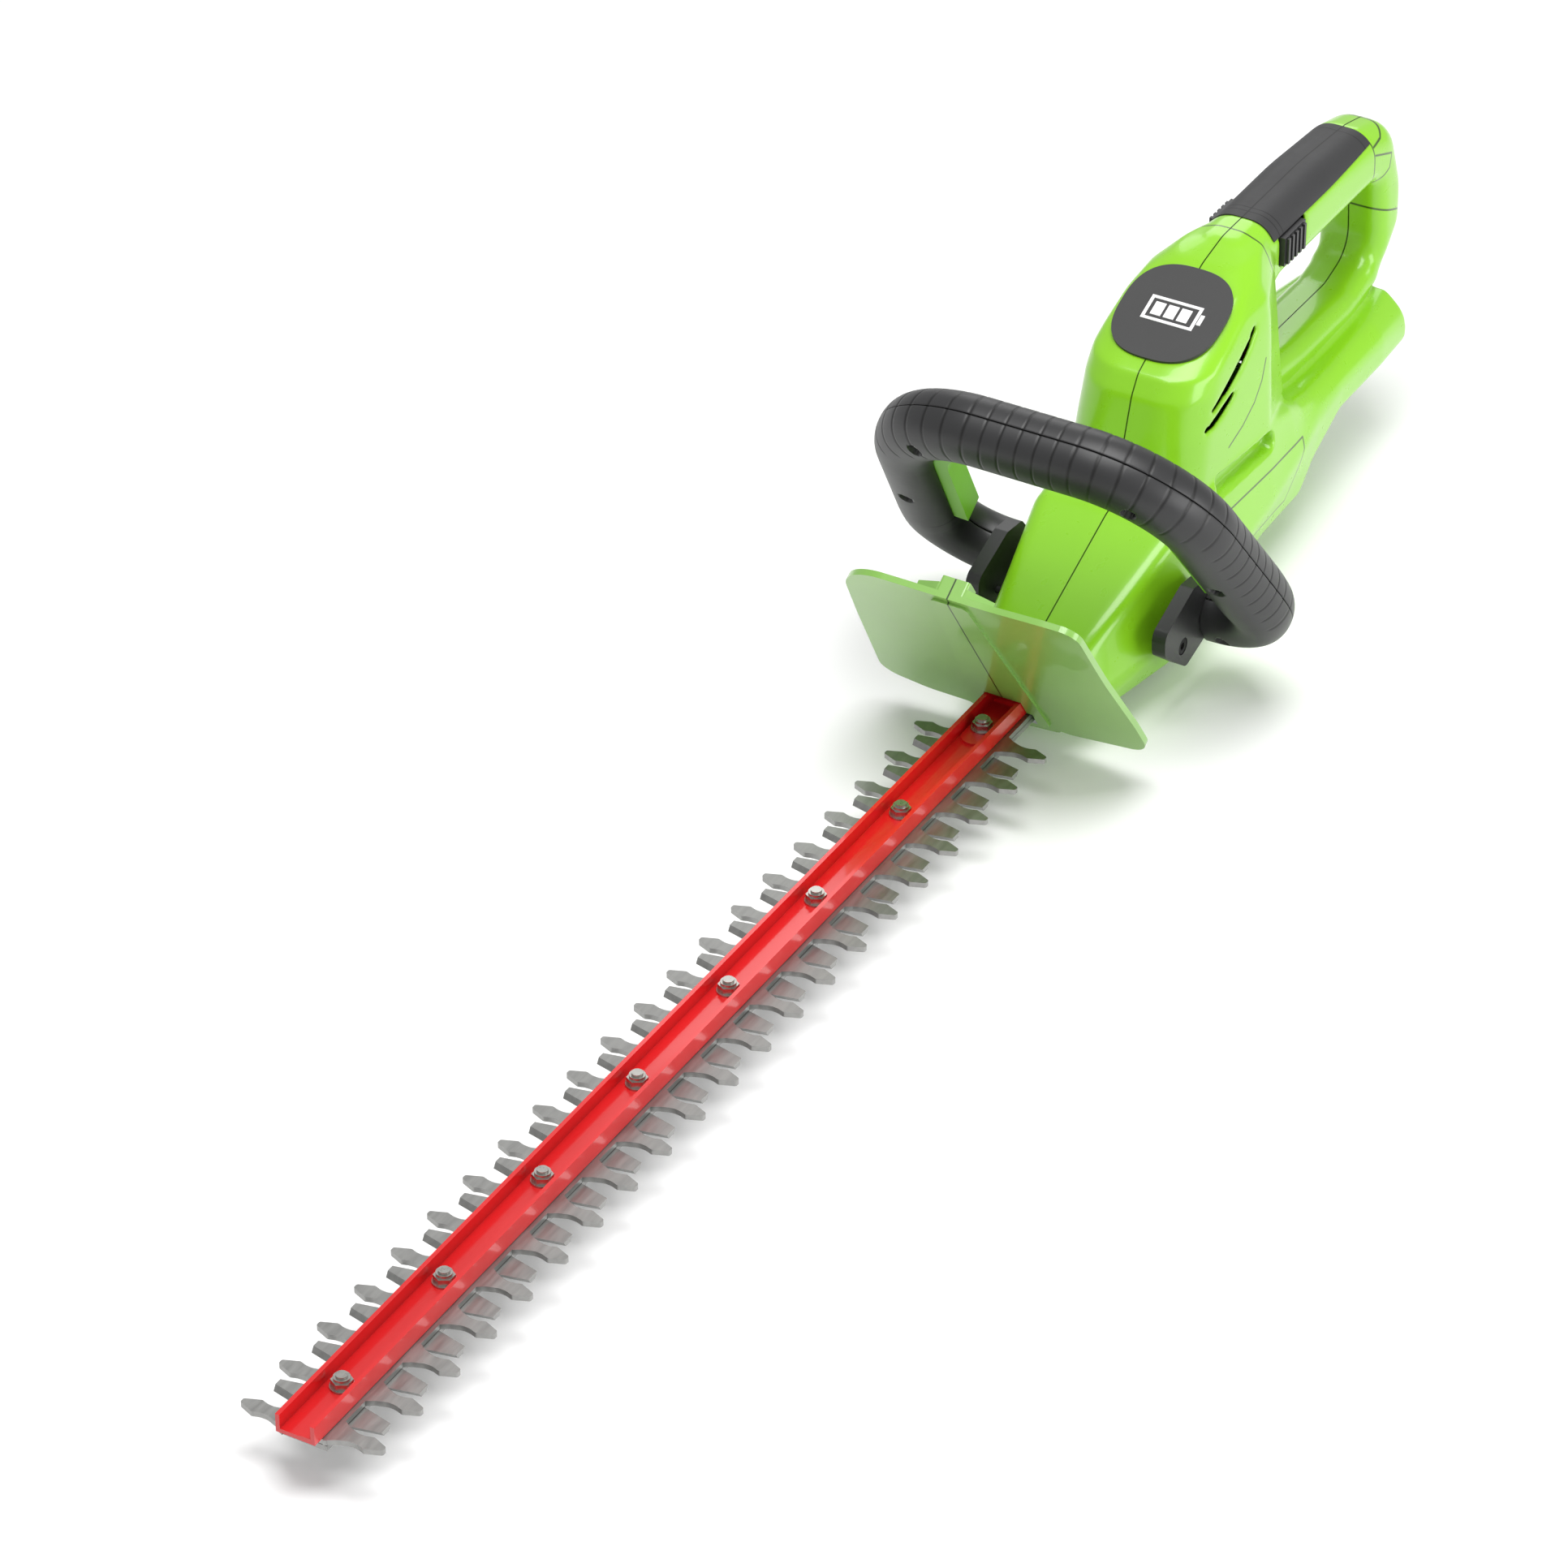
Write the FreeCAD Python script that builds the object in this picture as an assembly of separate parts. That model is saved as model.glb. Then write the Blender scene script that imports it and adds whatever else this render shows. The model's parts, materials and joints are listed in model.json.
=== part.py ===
import FreeCAD, Part
import math
import os
from FreeCAD import Vector

# Cordless hedge trimmer with a 54 cm double-action blade.
# Working frame, millimetres: +X forward along the blade, +Y to the tool's left, +Z up.
# X = 0 at the foremost tooth tips, Y = 0 on the parting plane, Z = 0 on the upper blade's top face.
# Every shape moves to the part frame at the end: origin under the middle of the whole tool.

# ---- driving dimensions ----
PITCH = 27.0                 # long tooth to long tooth
TOOTH_PAIRS = 21
BLADE_THICK = 2.5
BLADE_GAP = 0.3              # between flat sliding faces
SPINE_HALF = 11.0            # blade spine half width
TOOTH_TIP = 33.0             # long tooth tip from the centre line
SHORT_TIP = 25.0             # short tooth end from the centre line
BEVEL = 1.6                  # ground bevel on each side of a short tooth
BLADE_FRONT = 7.0
CRANK_THROW = 6.75           # eccentric throw; each blade travels twice this
STROKE = 2 * CRANK_THROW
CRANK_X = -663.0
CAM_R = 12.0
YOKE_PLAY = 1.75             # fore and aft play of a cam in its yoke
UPPER_TOP = 0.0
LOWER_TOP = -BLADE_THICK - BLADE_GAP
LOWER_BOTTOM = LOWER_TOP - BLADE_THICK

CHANNEL_HALF = 9.0
CHANNEL_FRONT = 12.1
CHANNEL_REAR = -624.0
WEB_BOTTOM = BLADE_GAP
WEB_TOP = 2.3
FLANGE_TOP = 9.1
BAR_BOLT_FRONT = -21.2
BAR_BOLT_PITCH = 74.43
BAR_BOLTS = 8
MOUNT_SCREWS_X = (-583.0, -612.0)
SLEEVE_R = 4.0
SLOT_R = 4.3

GEAR_MODULE = 1.0
GEAR_TEETH = 64
PINION_TEETH = 10
PRESSURE_ANGLE = math.radians(25.0)
ADDENDUM = 0.75
DEDENDUM = 1.1
BACKLASH = 0.16              # taken off each tooth's thickness at the pitch circle
MOTOR_X = CRANK_X - GEAR_MODULE * (GEAR_TEETH + PINION_TEETH) / 2
SHAFT_R = 5.0
MOTOR_R = 17.9
MOTOR_SHAFT_R = 1.59

WALL = 2.4                   # housing wall
PART_GAP = 0.05              # half the gap between the two housing halves

GUARD_LEAN = math.radians(33.5)
GUARD_FOOT = Vector(-568.1, 0, 0)
GUARD_THICK = 3.0

TUBE_R = 15.6                # front handle tube
TUBE_WALL = 2.6
LOOP_LEAN = math.radians(35.6)
LOOP_FOOT = Vector(-663.1, 0, 16.5)
LOOP_HEIGHT = 137.8
LOOP_ROOT = 51.0             # where its ends meet the brackets, from the parting plane
HOUSING_SCREWS = ((-603, 16.5), (-724, 4.5), (-666, 40), (-750, 122), (-780, 62), (-850, 53),
                  (-915, 92), (-902, 124))

X_DIR = Vector(1, 0, 0)
Y_DIR = Vector(0, 1, 0)
Z_DIR = Vector(0, 0, 1)


# ---- plain shapes ----
def block(xs, ys, zs):
    return Part.makeBox(xs[1] - xs[0], ys[1] - ys[0], zs[1] - zs[0], Vector(xs[0], ys[0], zs[0]))


def post(x, y, zs, radius):
    """Round post standing along Z."""
    return Part.makeCylinder(radius, zs[1] - zs[0], Vector(x, y, zs[0]), Z_DIR)


def peg(x, z, ys, radius):
    """Round peg lying along Y."""
    return Part.makeCylinder(radius, ys[1] - ys[0], Vector(x, ys[0], z), Y_DIR)


def ring(x, y, zs, outer, inner):
    return post(x, y, zs, outer).cut(post(x, y, zs, inner))


def joined(shapes):
    first, rest = shapes[0], shapes[1:]
    return first.multiFuse(rest) if rest else first


def less(shape, tools):
    return shape.cut(joined(tools))


def group(shapes):
    return Part.makeCompound(shapes)


def mirror_y(shape):
    return shape.mirror(Vector(0, 0, 0), Y_DIR)


def side_at(y):
    """Places outline (u, v) in the side view: u along X, v along Z."""
    return lambda p: Vector(p.x, y, p.y)


def plan_at(z):
    return lambda p: Vector(p.x, p.y, z)


def cross_at(x):
    return lambda p: Vector(x, p.x, p.y)


def side_length(corners, i):
    """Length of the outline's side that ends at corner i."""
    return math.hypot(corners[i][0] - corners[i - 1][0], corners[i][1] - corners[i - 1][1])


def rounded_wire(corners, place):
    """Closed outline through corners (u, v, radius), its corners rounded by arcs."""
    stops = []
    count = len(corners)
    for i, (u, v, radius) in enumerate(corners):
        here = Vector(u, v, 0)
        back = (Vector(corners[i - 1][0], corners[i - 1][1], 0) - here).normalize()
        ahead = (Vector(corners[(i + 1) % count][0], corners[(i + 1) % count][1], 0) - here).normalize()
        half = back.getAngle(ahead) / 2
        if radius == 0:
            stops.append((here, None, here))
            continue
        room = 0.48 * min(side_length(corners, i), side_length(corners, (i + 1) % count))
        reach = min(radius / math.tan(half), room)
        bend = reach * math.tan(half)
        middle = here + (back + ahead).normalize() * (bend / math.sin(half) - bend)
        stops.append((here + back * reach, middle, here + ahead * reach))
    edges = []
    for i, (start, middle, end) in enumerate(stops):
        if middle is not None:
            edges.append(Part.Arc(place(start), place(middle), place(end)).toShape())
        following = stops[(i + 1) % count][0]
        if end.distanceToPoint(following) > 1e-4:
            edges.append(Part.makeLine(place(end), place(following)))
    return Part.Wire(edges)


def prism(corners, place, sweep):
    return Part.Face(rounded_wire(corners, place)).extrude(sweep)


def mirrored(half):
    """Closed outline from the corners of its +v or +u half, first to last, and their mirror images."""
    return half + [(-u, v, r) for u, v, r in reversed(half)]


def hexagon(x, y, zs, flats):
    radius = flats / math.sqrt(3)
    angles = [math.radians(60 * i) for i in range(6)]
    corners = [(x + radius * math.cos(a), y + radius * math.sin(a), 0) for a in angles]
    return prism(corners, plan_at(zs[0]), Z_DIR * (zs[1] - zs[0]))


# ---- cutting blades ----
def long_tooth(z, side):
    """Blunt barbed tooth, waisted above a wide root."""
    half = [(7.6, SPINE_HALF - 1.5, 0), (4.6, 14.2, 6), (2.7, 19.5, 9), (3.0, 23.0, 6),
            (4.0, 26.0, 1.5), (1.2, TOOTH_TIP, 1.0)]
    corners = [(u, side * v, r) for u, v, r in mirrored(half)]
    return prism(corners, plan_at(z), Z_DIR * BLADE_THICK)


def short_tooth(z, side, bevel_up):
    """Trapezoid cutter, bevelled along both flanks towards the other blade."""
    def outline(inset, level):
        half = [(6.6 - inset, SPINE_HALF - 1, 0), (3.3 - inset, SHORT_TIP, 0)]
        return rounded_wire([(u, side * v, r) for u, v, r in mirrored(half)], plan_at(level))
    bottom_inset = 0 if bevel_up else BEVEL
    return Part.makeLoft([outline(bottom_inset, z), outline(BEVEL - bottom_inset, z + BLADE_THICK)],
                         True, True)


def blade(z, long_side, slot_ahead, yoke_x):
    """Blade with long teeth on one side and short ones on the other; slots pass the bar's sleeves."""
    zs = (z, z + BLADE_THICK)
    rear = yoke_x + CAM_R
    solids = [block((rear, BLADE_FRONT), (-SPINE_HALF, SPINE_HALF), zs)]
    for k in range(TOOTH_PAIRS):
        tooth = long_tooth(z, long_side)
        tooth.translate(Vector(-PITCH * k, 0, 0))
        solids.append(tooth)
    for k in range(TOOTH_PAIRS - 1):
        tooth = short_tooth(z, -long_side, long_side > 0)
        tooth.translate(Vector(-PITCH * (k + 0.5), 0, 0))
        solids.append(tooth)
    solids.append(yoke_plate(yoke_x, zs))
    body = joined(solids).removeSplitter()
    cuts = [yoke_slot(yoke_x, zs)]
    for x in bar_bolt_xs() + list(MOUNT_SCREWS_X):
        ends = (x, x + slot_ahead)
        cuts.append(obround(min(ends) - 0.4, max(ends) + 0.4, SLOT_R, (z - 1, z + BLADE_THICK + 1)))
    return less(body, cuts)


def obround(x0, x1, radius, zs):
    """Slot cutter between two centres on the centre line."""
    middle = block((x0, x1), (-radius, radius), zs)
    return middle.multiFuse([post(x0, 0, zs, radius), post(x1, 0, zs, radius)])


def yoke_plate(x, zs):
    outline = mirror_corners([(20.5, 26.0, 6), (-20.5, 26.0, 6)])
    plate = prism([(x + u, v, r) for u, v, r in outline], plan_at(zs[0]), Z_DIR * (zs[1] - zs[0]))
    return plate


def yoke_slot(x, zs):
    half_x = CAM_R + YOKE_PLAY
    half_y = CAM_R + CRANK_THROW + 0.6
    outline = mirror_corners([(half_x, half_y, 5), (-half_x, half_y, 5)])
    return prism([(x + u, v, r) for u, v, r in outline], plan_at(zs[0] - 1), Z_DIR * (zs[1] - zs[0] + 2))


def mirror_corners(upper):
    """Closed outline from its +v corners, front to rear, mirrored about v = 0."""
    return upper + [(u, -v, r) for u, v, r in reversed(upper)]


def bar_bolt_xs():
    return [BAR_BOLT_FRONT - BAR_BOLT_PITCH * i for i in range(BAR_BOLTS)]


# ---- guide bar ----
def guide_channel():
    """Open-topped U channel that carries the blades, with a pad under the bolt by the guard."""
    web = block((CHANNEL_REAR, CHANNEL_FRONT), (-CHANNEL_HALF, CHANNEL_HALF), (WEB_BOTTOM, WEB_TOP))
    wall = 1.9
    flanges = [block((CHANNEL_REAR, CHANNEL_FRONT), ys, (WEB_BOTTOM, FLANGE_TOP))
               for ys in ((-CHANNEL_HALF, wall - CHANNEL_HALF), (CHANNEL_HALF - wall, CHANNEL_HALF))]
    last = bar_bolt_xs()[-1]
    pad = obround(last - 7, last + 7, 6.2, (WEB_TOP, WEB_TOP + 1.2))
    ridge = block((CHANNEL_REAR, CHANNEL_FRONT), (2.2, CHANNEL_HALF - wall), (WEB_TOP, WEB_TOP + 0.4))
    seats = [post(x, 0, (WEB_TOP, WEB_TOP + 1), 5.6) for x in bar_bolt_xs()[:-1] + list(MOUNT_SCREWS_X)]
    channel = joined([web, pad, less(ridge, seats)] + flanges)
    holes = [post(x, 0, (-1, 9), 2.6) for x in bar_bolt_xs() + list(MOUNT_SCREWS_X)]
    return less(channel, holes).removeSplitter()


def nut_seat(x):
    return WEB_TOP + (1.2 if x == bar_bolt_xs()[-1] else 0)


def bar_bolts():
    """Bolts up through the lower washer, sleeve, web, washer and nut."""
    bolts = []
    for x in bar_bolt_xs():
        shank = post(x, 0, (-8.0, nut_seat(x) + 6.2), 2.45)
        head = hexagon(x, 0, (-11.0, -7.0), 8.0)
        bolts.append(joined([head, shank]))
    return group(bolts)


def bar_lower_washers():
    return group([ring(x, 0, (-7.0, -5.6), 8.0, 2.5) for x in bar_bolt_xs()])


def bar_sleeves():
    return group([ring(x, 0, (-5.6, WEB_BOTTOM), SLEEVE_R, 2.5)
                  for x in bar_bolt_xs() + list(MOUNT_SCREWS_X)])


def bar_washers():
    return group([ring(x, 0, (nut_seat(x), nut_seat(x) + 0.8), 5.2, 2.5) for x in bar_bolt_xs()])


def bar_nuts():
    """Lock nuts: a hexagon under a round collar."""
    nuts = []
    for x in bar_bolt_xs():
        z = nut_seat(x) + 0.8
        nut = joined([hexagon(x, 0, (z, z + 2.9), 8.0), post(x, 0, (z + 2.9, z + 4.3), 3.5)])
        nuts.append(nut.cut(post(x, 0, (z - 1, z + 6), 2.5)))
    return group(nuts)


def bar_mount_screws():
    screws = []
    for x in MOUNT_SCREWS_X:
        shank = post(x, 0, (-9.3, WEB_TOP + 1), 2.45)
        head = post(x, 0, (WEB_TOP, WEB_TOP + 3), 4.5).cut(hexagon(x, 0, (WEB_TOP + 1.2, WEB_TOP + 4), 4.0))
        screws.append(joined([shank, head]))
    return group(screws)


# ---- gears ----
def involute_gear(teeth, zs, bore, first_tooth):
    """Spur gear with a tooth centred on the angle first_tooth."""
    pitch_r = GEAR_MODULE * teeth / 2
    base_r = pitch_r * math.cos(PRESSURE_ANGLE)
    root_r = pitch_r - DEDENDUM
    tip_r = pitch_r + ADDENDUM
    involute = math.tan(PRESSURE_ANGLE) - PRESSURE_ANGLE
    half_tooth = math.pi / (2 * teeth) - BACKLASH / (2 * pitch_r)

    def flank(radius):
        reach = max(radius, base_r)
        angle = math.acos(base_r / reach)
        return half_tooth + involute - (math.tan(angle) - angle)

    radii = [root_r] + [max(base_r, root_r) + (tip_r - max(base_r, root_r)) * i / 4 for i in range(5)]
    points = []
    for i in range(teeth):
        centre = first_tooth + 2 * math.pi * i / teeth
        points += [(r, centre - flank(r)) for r in radii]
        points += [(r, centre + flank(r)) for r in reversed(radii)]
    wire = Part.makePolygon([Vector(r * math.cos(a), r * math.sin(a), zs[0]) for r, a in points]
                            + [Vector(points[0][0] * math.cos(points[0][1]),
                                      points[0][0] * math.sin(points[0][1]), zs[0])])
    gear = Part.Face(wire).extrude(Z_DIR * (zs[1] - zs[0]))
    return gear.cut(post(0, 0, (zs[0] - 1, zs[1] + 1), bore))


def drive_gear():
    gear = involute_gear(GEAR_TEETH, (3.5, 11.5), SHAFT_R, 0)
    hub = ring(0, 0, (0.4, 13.0), 9.0, SHAFT_R)
    holes = [post(19 * math.cos(a), 19 * math.sin(a), (0, 14), 5.0)
             for a in [math.radians(60 * i) for i in range(6)]]
    gear = less(gear.fuse(hub), holes)
    gear.translate(Vector(CRANK_X, 0, 0))
    return gear


def pinion():
    gear = involute_gear(PINION_TEETH, (3.0, 13.0), MOTOR_SHAFT_R, math.pi / PINION_TEETH)
    gear.translate(Vector(MOTOR_X, 0, 0))
    return gear


def crank_shaft():
    shaft = post(CRANK_X, 0, (-12.2, 20.6), SHAFT_R - 0.02)
    return shaft.makeChamfer(0.5, [e for e in shaft.Edges if e.Length > 20 and e.Closed])


def cam(z, throw):
    disc = post(CRANK_X + throw, 0, (z, z + BLADE_THICK), CAM_R)
    return disc.cut(post(CRANK_X, 0, (z - 1, z + BLADE_THICK + 1), SHAFT_R))


# ---- gear case ----
CASE_Z = (-9.3, 13.5)
CASE_FRONT = -626.0
CASE_OUTLINE = [(CASE_FRONT, 35.2, 14), (-680.0, 35.2, 8), (-691.0, 30.0, 6), (-712.0, 30.0, 8)]
CASE_SCREWS = [(x, y) for x, y0 in ((-634.0, 28.0), (-705.5, 24.0)) for y in (-y0, y0)]


def gear_case():
    """Cast lower case: pockets for gear, pinion and blade yokes, and a tongue under the bar."""
    upper = prism(mirror_corners(CASE_OUTLINE), plan_at(-0.5), Z_DIR * (CASE_Z[1] + 0.5))
    lower = prism(mirror_corners([(CASE_FRONT, 29.5, 8), (-696.0, 29.5, 6)]), plan_at(CASE_Z[0]), Z_DIR * 9)
    tongue = block((CASE_FRONT - 2, -574.0), (-12.0, 12.0), (CASE_Z[0], -5.6))
    foot = post(CRANK_X, 0, (-13.3, CASE_Z[0] + 1), 10.5)
    floor = LOWER_BOTTOM - 0.6
    pockets = [post(CRANK_X, 0, (2.0, 20), 33.4),
               post(MOTOR_X, 0, (1.8, 20), 7.0),
               block((-693.5, CASE_FRONT - 6.5), (-27.0, 27.0), (floor, 3.0)),
               block((CASE_FRONT - 8, CASE_FRONT + 1), (-11.6, 11.6), (floor, 20)),
               post(CRANK_X, 0, (-12.4, 0), 8.0)]
    pockets += [post(x, y, (1, 20), 1.5) for x, y in CASE_SCREWS]
    pockets += [post(x, 0, (-20, 0), 2.5) for x in MOUNT_SCREWS_X]
    return less(joined([upper, lower, tongue, foot]), pockets)


def gear_cover():
    """Cover plate with the upper bearing's boss and the motor's seat."""
    plate = prism(mirror_corners(CASE_OUTLINE), plan_at(CASE_Z[1]), Z_DIR * 3.6)
    boss = post(CRANK_X, 0, (CASE_Z[1], 23.0), 14.0)
    seat = post(MOTOR_X, 0, (CASE_Z[1], 20.0), 18.5)
    cuts = [post(CRANK_X, 0, (13.0, 20.6), 11.0), post(CRANK_X, 0, (13.0, 24), 6.0),
            post(MOTOR_X, 0, (13.0, 24), 7.0)]
    cuts += [post(x, y, (13.0, 20), 1.8) for x, y in CASE_SCREWS]
    cuts += [post(MOTOR_X, y, (13.0, 24), 1.6) for y in (-12.5, 12.5)]
    cuts += [post(MOTOR_X, y, (13.0, 15.5), 2.8) for y in (-12.5, 12.5)]
    return less(joined([plate, boss, seat]), cuts)


def case_screws():
    screws = []
    for x, y in CASE_SCREWS:
        head = post(x, y, (17.1, 19.6), 3.0).cut(hexagon(x, y, (18.2, 20), 2.6))
        screws.append(joined([post(x, y, (1.5, 17.5), 1.48), head]))
    return group(screws)


# ---- motor ----
def motor_can():
    can = post(MOTOR_X, 0, (20.0, 70.0), MOTOR_R).cut(post(MOTOR_X, 0, (21.2, 71.0), MOTOR_R - 1.0))
    nose = post(MOTOR_X, 0, (17.2, 20.5), 6.4)
    cuts = [post(MOTOR_X, 0, (17, 24), 4.0)]
    cuts += [post(MOTOR_X, y, (19, 22), 1.6) for y in (-12.5, 12.5)]
    windows = [block((MOTOR_X - 20, MOTOR_X + 20), (-4, 4), (24, 30)),
               block((MOTOR_X - 4, MOTOR_X + 4), (-20, 20), (24, 30))]
    return less(can.fuse(nose), cuts + windows)


def motor_magnets():
    sleeve = ring(MOTOR_X, 0, (32, 60), MOTOR_R - 1.05, 13.4)
    split = block((MOTOR_X - 30, MOTOR_X + 30), (-4.5, 4.5), (30, 62))
    return group(sleeve.cut(split).Solids)


def motor_end_cap():
    cap = post(MOTOR_X, 0, (70.0, 78.0), MOTOR_R).cut(post(MOTOR_X, 0, (69, 76.2), MOTOR_R - 2))
    seat = post(MOTOR_X, 0, (70.0, 77.0), 6.0)
    return cap.fuse(seat).cut(post(MOTOR_X, 0, (69, 79), 4.0))


def motor_bushes():
    return group([ring(MOTOR_X, 0, zs, 3.98, MOTOR_SHAFT_R + 0.05) for zs in ((17.4, 21.2), (70.2, 77.8))])


def motor_brushes():
    return group([block((MOTOR_X + s * 9 - 3.6, MOTOR_X + s * 9 + 3.6), (-2.5, 2.5), (64.0, 68.5))
                  for s in (-1, 1)])


def motor_rotor():
    """Shaft, three-pole armature and commutator."""
    shaft = post(MOTOR_X, 0, (3.0, 88.0), MOTOR_SHAFT_R)
    core = post(MOTOR_X, 0, (33, 59), 12.6)
    slots = []
    for i in range(5):
        slot = block((MOTOR_X + 7.5, MOTOR_X + 14), (-1.2, 1.2), (32, 60))
        slot.rotate(Vector(MOTOR_X, 0, 0), Z_DIR, 72 * i + 36)
        slots.append(slot)
    coils = post(MOTOR_X, 0, (30.0, 62.0), 9.5)
    commutator = post(MOTOR_X, 0, (62.0, 69.0), 4.9)
    return joined([shaft, less(core, slots), coils, commutator])


def motor_fan():
    """Impeller on the upper shaft end that draws air through the side slits."""
    hub = ring(MOTOR_X, 0, (80.0, 88.0), 4.0, MOTOR_SHAFT_R)
    disc = ring(MOTOR_X, 0, (80.0, 81.4), 15.5, 3.5)
    vane = block((MOTOR_X + 3.6, MOTOR_X + 15.0), (-0.6, 0.6), (81.0, 88.0))
    vanes = []
    for i in range(9):
        blade_copy = vane.copy()
        blade_copy.rotate(Vector(MOTOR_X, 0, 0), Z_DIR, 40 * i)
        vanes.append(blade_copy)
    return joined([hub, disc] + vanes)


def motor_screws():
    screws = []
    for y in (-12.5, 12.5):
        screws.append(joined([post(MOTOR_X, y, (15.0, 22.4), 1.48), post(MOTOR_X, y, (13.6, 15.4), 2.6)]))
    return group(screws)


# ---- housing ----
BELLY = [  # x, top half width and height, side half width and height, bottom half width and height
    (-548, 15.5, 3.0, 24.0, 0.0, 19.0, -7.0),
    (-598, 25.2, 25.4, 36.0, 3.0, 29.0, -13.0),
    (-658, 36.2, 52.6, 43.4, 6.0, 33.0, -20.0),
    (-692, 36.0, 60.0, 42.5, 12.0, 33.0, -13.5),
    (-751, 35.0, 64.0, 40.0, 20.0, 33.5, -2.5),
    (-778, 33.0, 56.0, 38.5, 27.0, 33.0, -3.0),
    (-792, 31.0, 50.0, 37.5, 31.0, 33.0, -3.0),
    (-806, 30.0, 47.5, 36.0, 36.0, 33.0, 9.0),
    (-834, 28.0, 46.5, 34.5, 40.0, 33.0, 21.5),
    (-878, 25.0, 47.5, 33.8, 40.5, 33.0, 21.5),
    (-908, 20.0, 48.0, 31.6, 37.0, 31.6, 21.0)]
HUMP = [  # height, front x, greatest half width, rear half width
    (42, -663.0, 35.5, 26.0),
    (60, -667.0, 35.5, 25.0),
    (84, -673.5, 34.8, 22.0),
    (103, -679.5, 34.2, 20.0),
    (112, -685.5, 33.6, 19.0),
    (117, -695.0, 33.0, 18.5),
    (125, -715.0, 31.5, 18.0),
    (132, -732.0, 27.0, 16.5),
    (138, -748.0, 19.0, 13.0),
    (141, -762.0, 9.0, 6.0)]
HUMP_REAR = -786.5
HANDLE_HALF = 17.6
HANDLE_OUTLINE = [(-745, 135.5, 0), (-766, 142.1, 20), (-845, 142.3, 200), (-893, 138.6, 60),
                  (-919, 132.5, 18), (-932, 98, 40), (-932, 74, 14), (-908, 47, 14), (-880, 38, 0),
                  (-745, 38, 0)]
HANDLE_HOLE = [(-789, 109, 9), (-790, 64, 8), (-822, 60, 60), (-880, 59, 16), (-905, 66, 22), (-903, 94, 60),
               (-900, 109, 16)]


def belly(inset):
    """Lower body from nose to battery skirt, a ruled loft through cross sections."""
    sections = []
    for i, (x, w_top, z_top, w_side, z_side, w_low, z_low) in enumerate(BELLY):
        half = [(w_top - inset, z_top - inset, 7 - inset), (w_side - inset, z_side, 16),
                (w_low - inset, z_low + inset, 6 - inset / 2)]
        shift = inset if i == len(BELLY) - 1 else 0
        sections.append(rounded_wire(mirrored(half), cross_at(x + shift)))
    return Part.makeLoft(sections, True, True)


def hump(inset):
    """Motor hump with a sloping crown, a ruled loft through plan sections."""
    sections = []
    for i, (z, front, widest, rear) in enumerate(HUMP):
        middle = min(-752.0, front - 20)
        inner = widest - inset
        upper = [(front - inset, inner * 0.93, inner * 0.68), (middle, inner, 16),
                 (HUMP_REAR, rear - inset, 3)]
        drop = inset if i > 4 else 0
        sections.append(rounded_wire(mirror_corners(upper), plan_at(z - drop)))
    return Part.makeLoft(sections, True, True)


def rear_handle(inset):
    """D-shaped handle: a rounded plate with the hand loop cut through."""
    outer = Part.Face(rounded_wire(HANDLE_OUTLINE, side_at(inset - HANDLE_HALF)))
    hole = Part.Face(rounded_wire(HANDLE_HOLE, side_at(inset - HANDLE_HALF)))
    if inset:
        outer = outer.makeOffset2D(-inset)
        hole = hole.makeOffset2D(inset)
    thick = 2 * (HANDLE_HALF - inset)
    plate = outer.cut(hole).extrude(Y_DIR * thick)
    plate = plate.makeFillet(13.5 - inset, handle_rims(plate, thick / 2, False))
    return plate.makeFillet(9.0 - inset, handle_rims(plate, thick / 2, True))


def handle_rims(plate, half, around_hole):
    """Edges of the handle's two side faces: around the hand hole, or around the outside."""
    def in_hole(b):
        return b.XMin > -908 and b.ZMin > 55 and b.ZMax < 120
    boxes = [(e, e.BoundBox) for e in plate.Edges]
    return [e for e, b in boxes if abs(abs(b.YMin) - half) < 0.01 and b.YLength < 0.01
            and b.XMin < -775 and b.ZMax > 60 and in_hole(b) == around_hole]


def body_form(inset):
    return joined([belly(inset), hump(inset), rear_handle(inset)])


def behind_guard(offset):
    """Everything behind the guard's back face, moved back by offset."""
    up = Vector(math.sin(GUARD_LEAN), 0, math.cos(GUARD_LEAN))
    back = Vector(-math.cos(GUARD_LEAN), 0, math.sin(GUARD_LEAN))
    start = GUARD_FOOT + back * (GUARD_THICK + offset) - up * 400 - Y_DIR * 200
    face = Part.Face(Part.makePolygon([start, start + up * 800, start + up * 800 + Y_DIR * 400,
                                       start + Y_DIR * 400, start]))
    return face.extrude(back * 500)


GRIP_SPAN = (-892.0, -787.0)
GRIP_LOW = 133.5


def grip_zone(side_gap):
    return block((GRIP_SPAN[0] - side_gap, GRIP_SPAN[1] + side_gap), (-30, 30), (GRIP_LOW - side_gap, 160))


def rear_grip():
    """Soft overmould on the crown of the rear handle."""
    skin = rear_handle(0).cut(rear_handle(1.5))
    return skin.common(grip_zone(0))


BADGE_SLOPE = math.atan2(138.0 - 115.5, 748.0 - 691.0)


def badge_plate():
    """Rounded inlay lying on the sloping crown."""
    up = Vector(-math.cos(BADGE_SLOPE), 0, math.sin(BADGE_SLOPE))
    normal = Vector(math.sin(BADGE_SLOPE), 0, math.cos(BADGE_SLOPE))
    foot = Vector(-691.0, 0, 116.4)

    def place(p):
        return foot + up * p.y + Y_DIR * p.x
    steps = [2 * math.pi * i / 24 for i in range(24)]
    points = [place(Vector(25.6 * signed_power(math.cos(t), 0.76),
                           28.8 + 27.6 * signed_power(math.sin(t), 0.76), 0)) for t in steps]
    rim = Part.BSplineCurve()
    rim.interpolate(Points=points, PeriodicFlag=True)
    return Part.Face(Part.Wire(rim.toShape())).extrude(normal * -1.6)


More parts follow.
